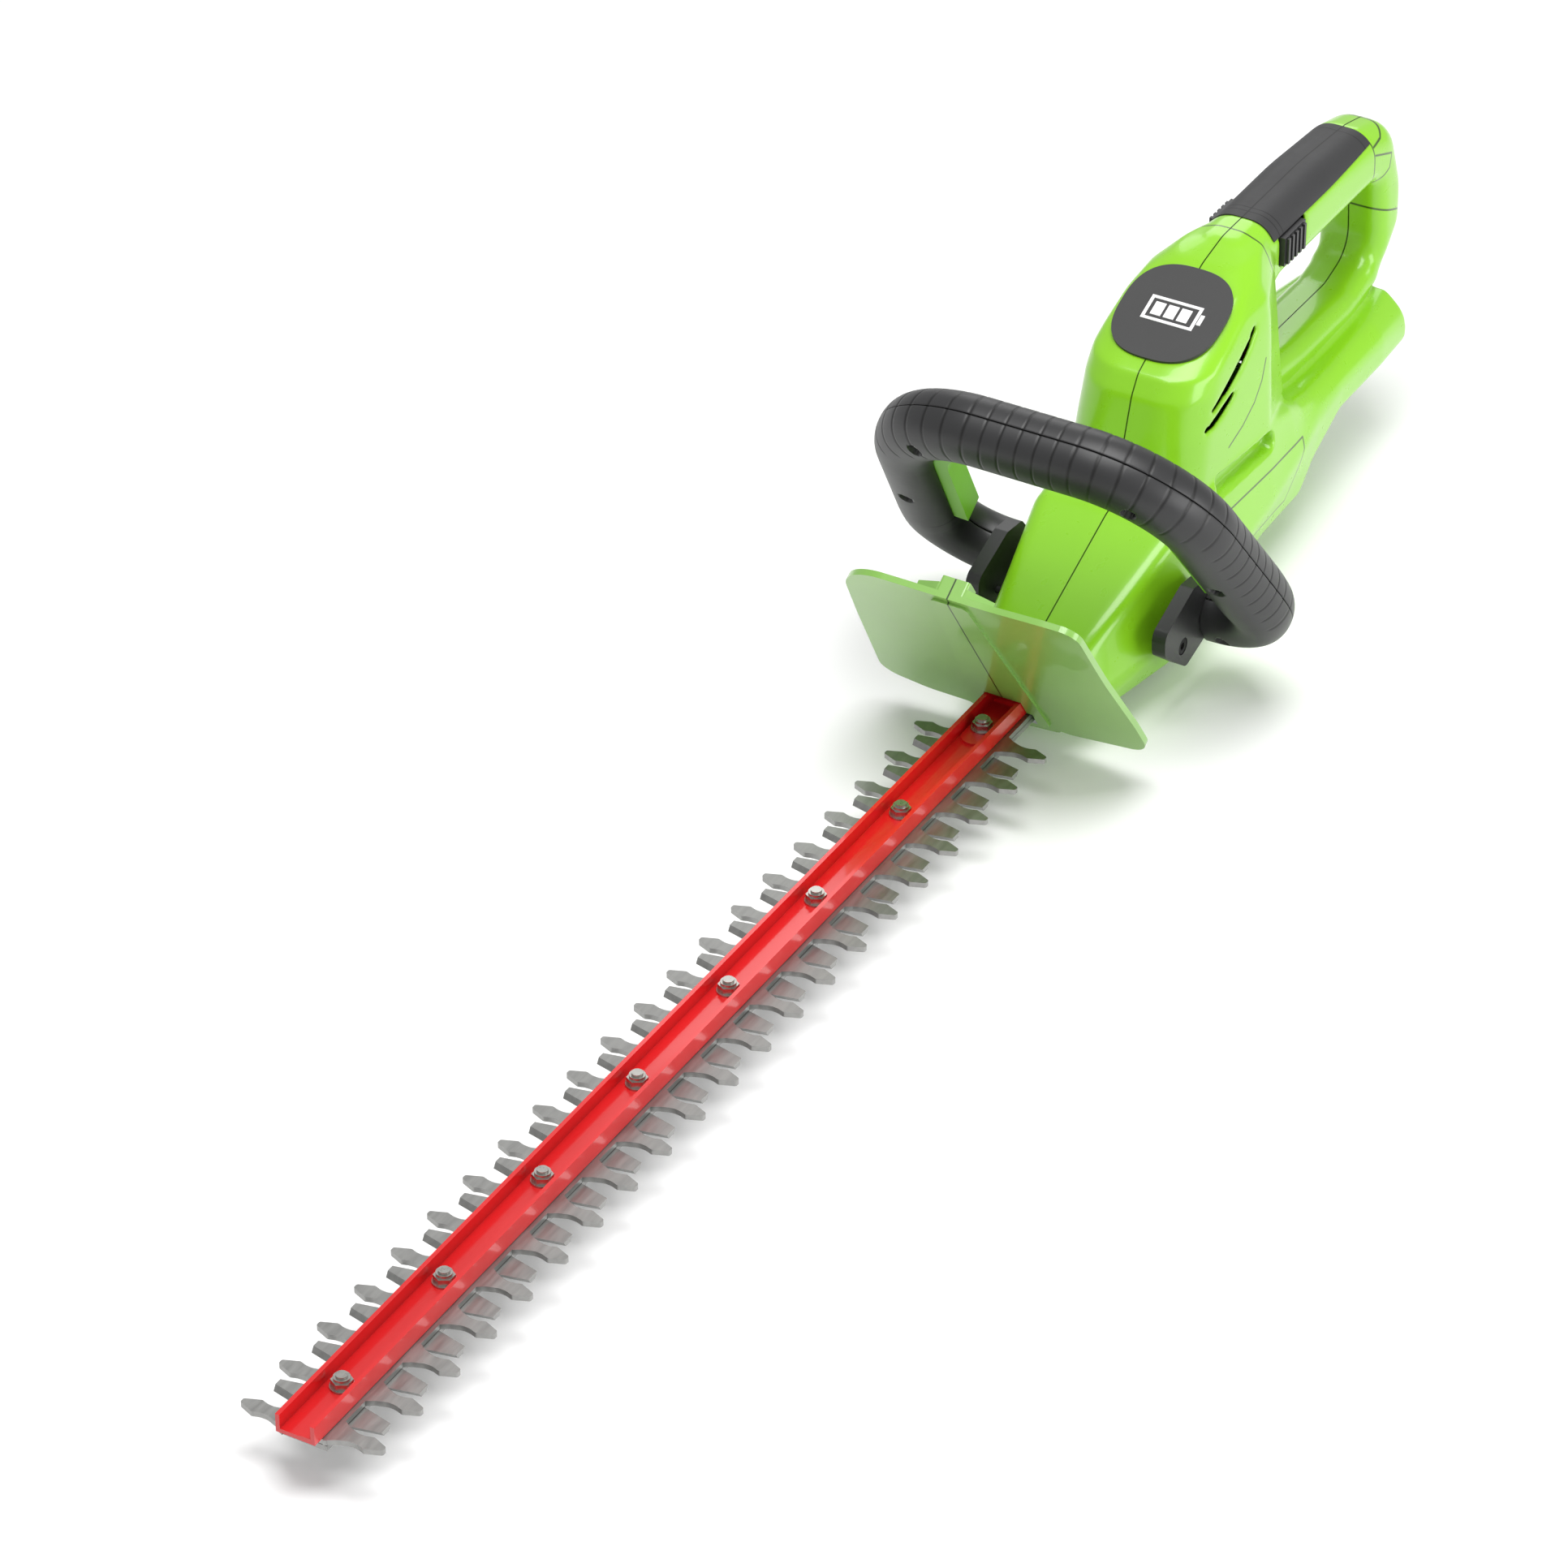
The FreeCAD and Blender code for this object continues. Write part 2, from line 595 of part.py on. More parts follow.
def signed_power(value, power):
    return math.copysign(abs(value) ** power, value)


SLOT_HALF = 8.4
TRIGGER_PIVOT = (-885.0, 121.5)
LOCK_X = -803.0
LOCK_Z = 127.0
BAY = ((-903.0, -838.0), (-28.0, 28.0), (10.0, 33.0))


VENTS = [  # rear end, middle, front end, half width
    ((-746, 123), (-719, 103.8), (-691, 92.8), 2.4),
    ((-723, 97), (-706, 90.2), (-687, 86.2), 1.8)]


def vent_cuts():
    """Two curved cooling slits, pointed at both ends, on each side of the hump."""
    slits = []
    for rear, middle, front, half in VENTS:
        edges = [Part.Arc(Vector(rear[0], 24, rear[1]), Vector(middle[0], 24, middle[1] + rise),
                          Vector(front[0], 24, front[1])).toShape() for rise in (half, -half)]
        slit = Part.Face(Part.Wire(edges)).extrude(Y_DIR * 21)
        slits += [slit, mirror_y(slit)]
    return slits


def housing_cuts():
    """Openings in the shells: blade mouth, trigger, lock-off slides, battery bay and vents."""
    cuts = [block((-600, -540), (-9.5, 9.5), (-1, 9.6)),
            block((-600, -540), (-13.2, 13.2), (-9.7, 0.8)),
            block((-891.5, -785.0), (-SLOT_HALF, SLOT_HALF), (100, 121)),
            block((LOCK_X - 16.2, LOCK_X + 10.1), (-30, 30), (LOCK_Z - 9.6, LOCK_Z + 6.2)),
            peg(TRIGGER_PIVOT[0], TRIGGER_PIVOT[1], (-16.5, 16.5), 1.52),
            block(*BAY),
            block((-915, -890), (-25, 25), (10, 34))]
    return cuts + vent_cuts()


def screw_bosses():
    return [peg(x, z, (-28, 28), 4.0) for x, z in HOUSING_SCREWS]


def battery_rails():
    rails = []
    for side in (-1, 1):
        ys = sorted((side * 25.6, side * 31.5))
        rails.append(block((-906, -838), ys, (25.5, 29.5)))
    return rails


def housing_halves():
    outer = body_form(0).common(behind_guard(0.2))
    inner = body_form(WALL).common(behind_guard(2.2))
    pads = joined(screw_bosses()).common(outer)
    shell = outer.cut(inner).fuse(pads)
    shell = less(shell, housing_cuts() + [rear_grip_room(), badge_room(), bracket_room()])
    shell = shell.fuse(joined(battery_rails()))
    holes = [peg(x, z, (-60, 14.5), 1.6) for x, z in HOUSING_SCREWS]
    heads = [peg(x, z, (-60, -12), 3.4) for x, z in HOUSING_SCREWS]
    shell = less(shell, holes + heads)
    left = shell.common(block((-1000, -400), (PART_GAP, 100), (-60, 200)))
    right = shell.common(block((-1000, -400), (-100, -PART_GAP), (-60, 200)))
    return biggest(left), biggest(right)


def biggest(shape):
    return max(shape.Solids, key=lambda solid: solid.Volume)


def rear_grip_room():
    return rear_handle(0).cut(rear_handle(1.5)).common(grip_zone(0.05))


def badge_room():
    return badge_plate()


def housing_screws():
    screws = []
    for x, z in HOUSING_SCREWS:
        head = peg(x, z, (-16, -12), 3.1).cut(peg(x, z, (-17, -14), 1.3))
        screws.append(joined([head, peg(x, z, (-13, 13.5), 1.55)]))
    return group(screws)


# ---- blade guard ----
GUARD_OUTLINES = {  # across from the middle, along the leaning plate, corner radius
    -1: [(0, -10.0, 0), (44, -9.0, 40), (66.2, -2.5, 11), (60.0, 60, 150), (53.8, 110.2, 24), (0, 110.3, 0)],
    1: [(0, -11.0, 0), (28, -12.0, 10), (69.6, -3.2, 13), (69.0, 22, 60), (64.9, 66, 200),
        (63.6, 112.6, 23), (46, 112.3, 60), (20, 110.3, 100), (0, 110.3, 0)]}


def guard_point(offset):
    up = Vector(math.sin(GUARD_LEAN), 0, math.cos(GUARD_LEAN))
    front = Vector(math.cos(GUARD_LEAN), 0, -math.sin(GUARD_LEAN))
    return lambda p: GUARD_FOOT + up * p.y + Y_DIR * p.x + front * offset


def guard_half(side):
    """One half of the leaning hand guard, with half of its middle rib, lower lip and top lug."""
    front = Vector(math.cos(GUARD_LEAN), 0, -math.sin(GUARD_LEAN))

    def half_prism(corners, offset, depth):
        outline = [(side * max(u, PART_GAP), v, r) for u, v, r in corners]
        return prism(outline, guard_point(offset), front * depth)
    plate = half_prism(GUARD_OUTLINES[side], -GUARD_THICK, GUARD_THICK)
    rib = half_prism([(0, -10.5, 0), (19, -9.0, 3), (9, 107, 3), (0, 107, 0)], -2.0, 3.2)
    lip = half_prism([(0, -19.0, 0), (20, -16.0, 5), (26, -8.5, 0), (0, -8.5, 0)], -GUARD_THICK, 2.4)
    lug = half_prism([(0, 101, 0), (7, 101, 0), (7, 110.3, 1.5), (0, 110.3, 0)], -10.3, 8.5)
    gusset = half_prism([(5, 104, 0), (19, 104, 0), (7, 110.0, 0), (5, 110.0, 0)], -7.0, 5.0)
    mouth = [block((-600, -500), (-9.5, 9.5), (-1, 9.7)),
             block((-600, -500), (-12.4, 12.4), (-9.7, 0.8))]
    return less(joined([plate, rib, lip, lug, gusset]), mouth)


# ---- front handle ----
LOOP_PATH = [(49.0, -6.0, 0), (86.6, -2.5, 29.5), (67.8, LOOP_HEIGHT, 50)]
BAR_PATH = [(81.1, 36.5, 0), (67.8, LOOP_HEIGHT, 50)]


def on_loop(shape):
    """Lays a shape drawn flat, with x across, y up the loop and z forward, onto the loop's plane."""
    up = Vector(math.sin(LOOP_LEAN), 0, math.cos(LOOP_LEAN))
    front = Vector(math.cos(LOOP_LEAN), 0, -math.sin(LOOP_LEAN))
    placed = shape.copy()
    placed.transformShape(frame_matrix(LOOP_FOOT, Y_DIR, up, front))
    return placed


def swept(half, section):
    """Flat sweep over the loop: up one side, over the top and down the other, bends as true arcs."""
    corners = half + [(-u, v, r) for u, v, r in reversed(half)]
    pieces = []
    pen = Vector(corners[0][0], corners[0][1], 0)
    for i in range(1, len(corners)):
        here = Vector(corners[i][0], corners[i][1], 0)
        ahead = (here - pen).normalize()
        if i == len(corners) - 1:
            pieces.append(section(pen, ahead).extrude(here - pen))
            continue
        following = (Vector(corners[i + 1][0], corners[i + 1][1], 0) - here).normalize()
        turn = ahead.getAngle(following)
        radius = corners[i][2]
        start = here - ahead * (radius * math.tan(turn / 2))
        pieces.append(section(pen, ahead).extrude(start - pen))
        centre = start + Vector(-ahead.y, ahead.x, 0) * radius
        pieces.append(section(start, ahead).revolve(centre, Z_DIR, math.degrees(turn)))
        pen = here + following * (radius * math.tan(turn / 2))
    return joined(pieces).removeSplitter()


def round_section(radius):
    return lambda at, ahead: Part.Face(Part.Wire([Part.makeCircle(radius, at, ahead)]))


def flat_section(near, far, half_depth):
    """Rectangle from near to far towards the loop's opening."""
    def face(at, ahead):
        inward = Vector(-ahead.y, ahead.x, 0)
        a = at + inward * near - Z_DIR * half_depth
        b = at + inward * far - Z_DIR * half_depth
        depth = Z_DIR * (2 * half_depth)
        return Part.Face(Part.makePolygon([a, b, b + depth, a + depth, a]))
    return face


HANDLE_SCREW_SPOTS = [(53, 132), (78.5, 66), (62, -5)]


def loop_spots():
    return [(side * y, t) for y, t in HANDLE_SCREW_SPOTS for side in (-1, 1)]


def loop_post(y, t, zs, radius):
    return Part.makeCylinder(radius, zs[1] - zs[0], Vector(y, t, zs[0]), Z_DIR)


def handle_shell(front_half):
    """Front or rear half of the hollow loop, grooved inside for the switch bar."""
    zs = (0.05, 40) if front_half else (-40, -0.05)
    shell = swept(LOOP_PATH, round_section(TUBE_R)).cut(swept(LOOP_PATH, round_section(TUBE_R - TUBE_WALL)))
    posts = joined([loop_post(y, t, (-13.5, 11.6), 4.2) for y, t in loop_spots()])
    shell = shell.fuse(posts).common(block((-120, 120), (-60, 200), zs))
    cuts = [swept(BAR_PATH, flat_section(6.0, 26.0, 6.6)),
            block((-LOOP_ROOT, LOOP_ROOT), (-40, 20), (-40, 40))]
    cuts += [loop_post(y, t, (-9, 40), 1.6) for y, t in loop_spots()]
    cuts += [loop_post(y, t, (8.9, 40), 2.9) for y, t in loop_spots()]
    return on_loop(biggest(less(shell, cuts)))


def handle_screws():
    """Shell screws: from the rear shell's posts to heads sunk below the front wall."""
    screws = []
    for y, t in loop_spots():
        head = loop_post(y, t, (9.0, 11.4), 2.7).cut(loop_post(y, t, (10.2, 12), 1.2))
        screws.append(loop_post(y, t, (-8.8, 9.5), 1.55).fuse(head))
    return on_loop(group(screws))


def switch_bar():
    """Inverted U squeezed up towards the loop's tube."""
    return on_loop(swept(BAR_PATH, flat_section(11.5, 21.0, 6.2)))


def bar_springs():
    """Two return springs above the switch bar inside the loop's top."""
    springs = []
    for y in (-20, 20):
        ys = Vector(y, LOOP_HEIGHT - 11.4, 0)
        coil = Part.makeCylinder(3.4, 23.8, ys, Y_DIR).cut(Part.makeCylinder(2.4, 23.8, ys, Y_DIR))
        springs.append(coil)
    return on_loop(group(springs))


def front_switch():
    return on_loop(block((-8, 8), (LOOP_HEIGHT - 6.5, LOOP_HEIGHT + 5), (-4, 4)))


def frame_matrix(origin, first, second, third):
    return FreeCAD.Matrix(first.x, second.x, third.x, origin.x,
                          first.y, second.y, third.y, origin.y,
                          first.z, second.z, third.z, origin.z, 0, 0, 0, 1)


BRACKET = [(-660.5, 33.5, 4), (-646.5, 35.0, 3), (-619.0, 24.0, 6), (-619.5, 13.0, 6), (-641.0, -4.0, 5),
           (-668.0, 4.0, 8), (-673.0, 18.0, 8)]
BRACKET_Y = (44.2, 50.9)
BRACKET_SCREW = (-637.5, 9.0)


def handle_bracket(side):
    """Side plate that carries one end of the loop."""
    ys = sorted((side * BRACKET_Y[0], side * BRACKET_Y[1]))
    plate = prism(BRACKET, side_at(ys[0]), Y_DIR * (ys[1] - ys[0]))
    hole = peg(BRACKET_SCREW[0], BRACKET_SCREW[1], (ys[0] - 1, ys[1] + 1), 2.1)
    head_ys = sorted((side * 48.0, side * 60.0))
    head = peg(BRACKET_SCREW[0], BRACKET_SCREW[1], head_ys, 4.2)
    return less(plate, [hole, head])


def bracket_room():
    """Flats on the housing's flanks behind the brackets, with their screw holes."""
    cuts = []
    for side in (-1, 1):
        ys = sorted((side * 44.1, side * 70.0))
        cuts.append(block((-690, -600), ys, (-30, 50)))
        hole_ys = sorted((side * 36.0, side * 60.0))
        cuts.append(peg(BRACKET_SCREW[0], BRACKET_SCREW[1], hole_ys, 1.9))
    return joined(cuts)


def bracket_screws():
    screws = []
    for side in (-1, 1):
        shank_ys = sorted((side * 39.0, side * 48.5))
        head_ys = sorted((side * 48.0, side * 50.6))
        socket_ys = sorted((side * 49.2, side * 52.0))
        x, z = BRACKET_SCREW
        screw = peg(x, z, shank_ys, 1.85).fuse(peg(x, z, head_ys, 3.9))
        screws.append(screw.cut(peg(x, z, socket_ys, 1.8)))
    return group(screws)


# ---- rear controls ----
def trigger():
    """Long lever under the rear grip, pivoted at its rear end."""
    outline = [(-890.0, 118.0, 2), (-888.0, 125.5, 3), (-878.0, 125.5, 3), (-868.0, 122.0, 6),
               (-789.0, 122.0, 2), (-787.5, 106.0, 3), (-800.0, 102.0, 12), (-836.0, 103.5, 60),
               (-878.0, 102.5, 6), (-889.0, 107.0, 5)]
    lever = prism(outline, side_at(-7.9), Y_DIR * 15.8)
    x, z = TRIGGER_PIVOT
    return lever.cut(peg(x, z, (-9, 9), 1.55))


def trigger_pin():
    x, z = TRIGGER_PIVOT
    return peg(x, z, (-16.4, 16.4), 1.5)


def trigger_spring():
    return ring(-826.0, 0, (122.2, 137.2), 3.6, 2.7)


def lock_off():
    """Thumb pads on both flanks joined by a crossbar above the trigger."""
    bar = block((LOCK_X - 3, LOCK_X + 3), (-15.0, 15.0), (LOCK_Z + 1.2, LOCK_Z + 3.7))
    parts = [bar]
    for side in (-1, 1):
        ys = sorted((side * 13.0, side * 19.2))
        pad = block((LOCK_X - 11.5, LOCK_X + 9.5), ys, (LOCK_Z - 9.0, LOCK_Z + 5.7))
        ribs = []
        for i in range(5):
            rib_ys = sorted((side * 18.4, side * 20.6))
            x = LOCK_X - 9.9 + 4.0 * i
            ribs.append(block((x, x + 1.9), rib_ys, (LOCK_Z - 8.2, LOCK_Z + 4.9)))
        parts += [pad] + ribs
    return joined(parts)


def lock_spring():
    return Part.makeCylinder(2.0, 9.5, Vector(LOCK_X - 12.7, 0, LOCK_Z + 2.4), X_DIR).cut(
        Part.makeCylinder(1.4, 12, Vector(LOCK_X - 14, 0, LOCK_Z + 2.4), X_DIR))


def main_switch():
    body = block((-858, -838), (-7, 7), (127.5, 138))
    tip = post(-848, 0, (125.6, 128), 2.2)
    return body.fuse(tip)


def control_board():
    board = block((-782, -732), (-17, 17), (95.0, 96.6))
    chips = [block((x, x + 7), (y, y + 6), (96.6, 99.2)) for x in (-776, -762, -748) for y in (-12, 4)]
    capacitor = post(-738.5, 0, (96.6, 110), 4.5)
    return joined([board, capacitor] + chips)


def terminal_block():
    body = block((-824, -810), (-22, 22), (21, 40))
    foot = block((-812, -806), (-25, 25), (24, 43))
    slots = [block((-825, -815), (y - 1.2, y + 1.2), (24, 35)) for y in (-14, 0, 14)]
    return less(body.fuse(foot), slots)


def battery_contacts():
    return group([block((-844, -815.2), (y - 0.5, y + 0.5), (25.5, 32.5)) for y in (-14, 0, 14)])


def wire_run(points, radius):
    """Insulated lead through the given points: straight runs with ball corners."""
    parts = []
    for a, b in zip(points, points[1:]):
        start, end = Vector(*a), Vector(*b)
        parts.append(Part.makeCylinder(radius, (end - start).Length, start, end - start))
    parts += [Part.makeSphere(radius, Vector(*p)) for p in points[1:-1]]
    return joined(parts)


def internal_leads():
    """Leads between battery terminals, board, trigger switch and motor."""
    battery = wire_run([(-805.8, 10, 40), (-794, 10, 40), (-776, 10, 44), (-773, 10, 62),
                        (-776, 10, 94.8)], 1.1)
    switch = wire_run([(-837.0, 6, 132), (-818, 6.5, 136), (-790, 6.5, 134), (-758.5, 1, 97.8)], 1.0)
    motor = wire_run([(-730.8, 6, 95.8), (-724, 6, 92), (-722, 6, 74), (-718.3, 6, 74)], 1.0)
    return group([battery, switch, motor])


def upper_bearing():
    return ring(CRANK_X, 0, (13.6, 20.5), 10.98, SHAFT_R + 0.02)


def lower_bush():
    return ring(CRANK_X, 0, (-12.35, -6.2), 7.98, SHAFT_R + 0.04)


# ---- assembly ----
def build():
    left, right = housing_halves()
    return {
        "upper_blade": blade(UPPER_TOP - BLADE_THICK, 1, -STROKE, CRANK_X - CRANK_THROW),
        "lower_blade": blade(LOWER_BOTTOM, -1, STROKE, CRANK_X + CRANK_THROW),
        "guide_channel": guide_channel(),
        "bar_bolts": bar_bolts(),
        "bar_lower_washers": bar_lower_washers(),
        "bar_sleeves": bar_sleeves(),
        "bar_washers": bar_washers(),
        "bar_nuts": bar_nuts(),
        "bar_mount_screws": bar_mount_screws(),
        "drive_gear": drive_gear(),
        "crank_shaft": crank_shaft(),
        "upper_cam": cam(UPPER_TOP - BLADE_THICK, -CRANK_THROW),
        "lower_cam": cam(LOWER_BOTTOM, CRANK_THROW),
        "pinion": pinion(),
        "gear_case": gear_case(),
        "gear_cover": gear_cover(),
        "case_screws": case_screws(),
        "upper_bearing": upper_bearing(),
        "lower_bush": lower_bush(),
        "motor_can": motor_can(),
        "motor_magnets": motor_magnets(),
        "motor_end_cap": motor_end_cap(),
        "motor_bushes": motor_bushes(),
        "motor_brushes": motor_brushes(),
        "motor_rotor": motor_rotor(),
        "motor_fan": motor_fan(),
        "motor_screws": motor_screws(),
        "housing_left": left,
        "housing_right": right,
        "housing_screws": housing_screws(),
        "hand_guard_left": guard_half(1),
        "hand_guard_right": guard_half(-1),
        "badge_plate": badge_plate(),
        "rear_grip": rear_grip(),
        "trigger": trigger(),
        "trigger_pin": trigger_pin(),
        "trigger_spring": trigger_spring(),
        "lock_off_button": lock_off(),
        "lock_off_spring": lock_spring(),
        "main_switch": main_switch(),
        "control_board": control_board(),
        "terminal_block": terminal_block(),
        "battery_contacts": battery_contacts(),
        "internal_leads": internal_leads(),
        "front_handle_front": handle_shell(True),
        "front_handle_rear": handle_shell(False),
        "front_handle_screws": handle_screws(),
        "switch_bar": switch_bar(),
        "switch_bar_springs": bar_springs(),
        "front_switch": front_switch(),
        "handle_bracket_left": handle_bracket(1),
        "handle_bracket_right": handle_bracket(-1),
        "bracket_screws": bracket_screws(),
    }


def main():
    os.makedirs("parts", exist_ok=True)
    nodes = build()
    whole = group(list(nodes.values())).BoundBox
    shift = Vector(-(whole.XMin + whole.XMax) / 2, 0, -whole.ZMin)
    print("shift %.4f %.4f %.4f" % (shift.x, shift.y, shift.z))
    print("size %.2f %.2f %.2f" % (whole.XLength, whole.YLength, whole.ZLength))
    for name, shape in nodes.items():
        shape.translate(shift)
        shape.exportStep("parts/%s.step" % name)
        facts = (name, len(shape.Solids), shape.Volume, shape.isValid())
        print("%-22s solids %2d volume %10.1f valid %s" % facts)


main()
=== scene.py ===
import json
import math

import bmesh
import bpy
from mathutils import Matrix, Vector


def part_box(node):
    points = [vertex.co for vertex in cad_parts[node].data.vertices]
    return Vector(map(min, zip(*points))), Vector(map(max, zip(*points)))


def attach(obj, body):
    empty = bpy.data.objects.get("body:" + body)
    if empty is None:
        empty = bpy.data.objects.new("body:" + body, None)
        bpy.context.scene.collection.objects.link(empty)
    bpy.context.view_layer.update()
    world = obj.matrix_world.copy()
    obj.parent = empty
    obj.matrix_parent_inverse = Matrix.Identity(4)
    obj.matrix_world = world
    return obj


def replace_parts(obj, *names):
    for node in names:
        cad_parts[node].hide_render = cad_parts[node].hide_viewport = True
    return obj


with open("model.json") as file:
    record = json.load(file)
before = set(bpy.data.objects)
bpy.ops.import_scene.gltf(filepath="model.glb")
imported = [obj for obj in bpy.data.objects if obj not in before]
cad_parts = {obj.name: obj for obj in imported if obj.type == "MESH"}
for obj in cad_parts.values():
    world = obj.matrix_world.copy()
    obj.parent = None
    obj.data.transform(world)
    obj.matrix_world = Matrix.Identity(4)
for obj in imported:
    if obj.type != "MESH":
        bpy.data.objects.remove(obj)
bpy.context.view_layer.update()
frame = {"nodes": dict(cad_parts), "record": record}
scene = bpy.context.scene
nodes = frame["nodes"]

# The design origin: foremost tooth tips in x, upper blade's top face in z.
TIP_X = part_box("guide_channel")[1][0] - 0.0121
BLADE_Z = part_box("upper_blade")[1][2]


def at(x, y, z):
    """A point given in millimetres from the design origin, in the row frame."""
    return Vector((TIP_X + x / 1000, y / 1000, BLADE_Z + z / 1000))


def piece(name, mesh, slot, body, material=None):
    """A new smooth-shaded piece from a bmesh or a mesh, riding on a CAD body."""
    data = mesh
    if isinstance(mesh, bmesh.types.BMesh):
        data = bpy.data.meshes.new(name)
        mesh.to_mesh(data)
        mesh.free()
    data.shade_smooth()
    data.materials.clear()
    data.materials.append(MATERIALS[material or slot])
    made = bpy.data.objects.new(name, data)
    scene.collection.objects.link(made)
    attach(made, body)
    return made


# ---- materials ----
def new_material(name):
    mat = bpy.data.materials.new(name)
    mat.use_nodes = True
    return mat, mat.node_tree.nodes, mat.node_tree.links, mat.node_tree.nodes["Principled BSDF"]


def coords(n, links, scale):
    where = n.new("ShaderNodeTexCoord")
    mapping = n.new("ShaderNodeMapping")
    mapping.inputs["Scale"].default_value = scale
    links.new(where.outputs["Object"], mapping.inputs["Vector"])
    return mapping.outputs["Vector"]


def noise(n, links, vector, scale, detail=3.0):
    tex = n.new("ShaderNodeTexNoise")
    tex.inputs["Scale"].default_value = scale
    tex.inputs["Detail"].default_value = detail
    links.new(vector, tex.inputs["Vector"])
    return tex.outputs["Fac"]


def span(n, links, value, low, high):
    out = n.new("ShaderNodeMapRange")
    out.inputs["To Min"].default_value = low
    out.inputs["To Max"].default_value = high
    links.new(value, out.inputs["Value"])
    return out.outputs["Result"]


def tinted(n, links, value, dark, light):
    ramp = n.new("ShaderNodeValToRGB")
    ramp.color_ramp.elements[0].position = 0.35
    ramp.color_ramp.elements[0].color = (*dark, 1)
    ramp.color_ramp.elements[1].position = 0.65
    ramp.color_ramp.elements[1].color = (*light, 1)
    links.new(value, ramp.inputs["Fac"])
    return ramp.outputs["Color"]


def bumped(n, links, height, strength, distance, normal=None):
    bump = n.new("ShaderNodeBump")
    bump.inputs["Strength"].default_value = strength
    bump.inputs["Distance"].default_value = distance
    links.new(height, bump.inputs["Height"])
    if normal is not None:
        links.new(normal, bump.inputs["Normal"])
    return bump.outputs["Normal"]


def shade(color, factor):
    return tuple(min(1.0, c * factor) for c in color)


def vector_math(n, links, kind, first, second):
    node = n.new("ShaderNodeVectorMath")
    node.operation = kind
    links.new(first, node.inputs[0])
    if isinstance(second, (tuple, Vector)):
        node.inputs[1].default_value = second
    elif isinstance(second, float):
        node.inputs["Scale"].default_value = second
    elif second is not None:
        links.new(second, node.inputs["Scale" if kind == "SCALE" else 1])
    return node.outputs["Value" if kind in ("DOT_PRODUCT", "LENGTH") else "Vector"]


def plain_math(n, links, kind, first, second, clamp=False):
    node = n.new("ShaderNodeMath")
    node.operation = kind
    node.use_clamp = clamp
    for socket, value in zip(node.inputs, (first, second)):
        if isinstance(value, (int, float)):
            socket.default_value = value
        elif value is not None:
            links.new(value, socket)
    return node.outputs[0]


LINE_FULL = 1.6              # a drawn line is full dark to 0.6 of its half width, gone at 1.6


def drawn_lines(n, links, runs, flatten, half_width):
    """1 on thin lines given by their points in design millimetres, seen along the flattened axis."""
    where = n.new("ShaderNodeTexCoord").outputs["Object"]
    where = vector_math(n, links, "SUBTRACT", where, at(0, 0, 0))
    where = vector_math(n, links, "MULTIPLY", where, tuple(1000.0 * f for f in flatten))
    nearest = None
    for run in runs:
        for a, b in zip(run, run[1:]):
            a, b = Vector(a), Vector(b)
            rel = vector_math(n, links, "SUBTRACT", where, a)
            part = vector_math(n, links, "DOT_PRODUCT", rel, (b - a) / (b - a).length_squared)
            part = plain_math(n, links, "MULTIPLY", part, 1.0, clamp=True)
            along = n.new("ShaderNodeCombineXYZ")
            for socket in along.inputs:
                links.new(part, socket)
            foot = vector_math(n, links, "MULTIPLY", along.outputs[0], b - a)
            away = vector_math(n, links, "LENGTH", vector_math(n, links, "SUBTRACT", rel, foot), None)
            nearest = away if nearest is None else plain_math(n, links, "MINIMUM", nearest, away)
    near = plain_math(n, links, "DIVIDE", nearest, half_width)
    return plain_math(n, links, "SUBTRACT", LINE_FULL, near, clamp=True)


def plastic(name, color, rough, grain=900.0, depth=0.00003, coat=0.0, variation=0.04, lines=()):
    """Moulded plastic: fine grain, faint flow variation, dark parting lines, and painted shade in grooves
    and screw wells from the groove attribute.
    """
    mat, n, links, bsdf = new_material(name)
    place = coords(n, links, (1, 1, 1))
    flow = noise(n, links, place, 18.0)
    tint = tinted(n, links, flow, shade(color, 1 - variation), shade(color, 1 + variation))
    # The groove attribute carries painted shade in the handle's grip-ring grooves and screw wells, and its
    # dark parting edges.
    groove = n.new("ShaderNodeAttribute")
    groove.attribute_name = "groove"
    dark = groove.outputs["Fac"]
    for runs, flatten, half_width in lines:
        dark = plain_math(n, links, "MAXIMUM", dark, drawn_lines(n, links, runs, flatten, half_width))
    # Painted shade and dark joint lines: the colour is mixed down to 0.12 of itself where they fall.
    mix = n.new("ShaderNodeMix")
    mix.data_type = "RGBA"
    links.new(plain_math(n, links, "MULTIPLY", dark, 1.0, clamp=True), mix.inputs["Factor"])
    links.new(tint, mix.inputs["A"])
    mix.inputs["B"].default_value = (*shade(color, 0.12), 1)
    links.new(mix.outputs["Result"], bsdf.inputs["Base Color"])
    mottle = noise(n, links, place, 140.0)
    links.new(span(n, links, mottle, rough * 0.93, rough * 1.07), bsdf.inputs["Roughness"])
    links.new(bumped(n, links, noise(n, links, place, grain, 2.0), 0.25, depth), bsdf.inputs["Normal"])
    bsdf.inputs["Coat Weight"].default_value = coat
    bsdf.inputs["Coat Roughness"].default_value = 0.06
    return mat


def metal(name, color, rough, stretch=(1, 1, 1), scale=400.0, variation=0.08, metallic=1.0):
    """Machined metal with grain drawn out along one axis."""
    mat, n, links, bsdf = new_material(name)
    place = coords(n, links, stretch)
    grain = noise(n, links, place, scale, 4.0)
    links.new(tinted(n, links, grain, shade(color, 1 - variation), shade(color, 1 + variation)),
              bsdf.inputs["Base Color"])
    links.new(span(n, links, grain, rough * 0.8, rough * 1.25), bsdf.inputs["Roughness"])
    links.new(bumped(n, links, grain, 0.15, 0.00002), bsdf.inputs["Normal"])
    bsdf.inputs["Metallic"].default_value = metallic
    return mat


def side_run(*points):
    return [(x, 0, z) for x, z in points]


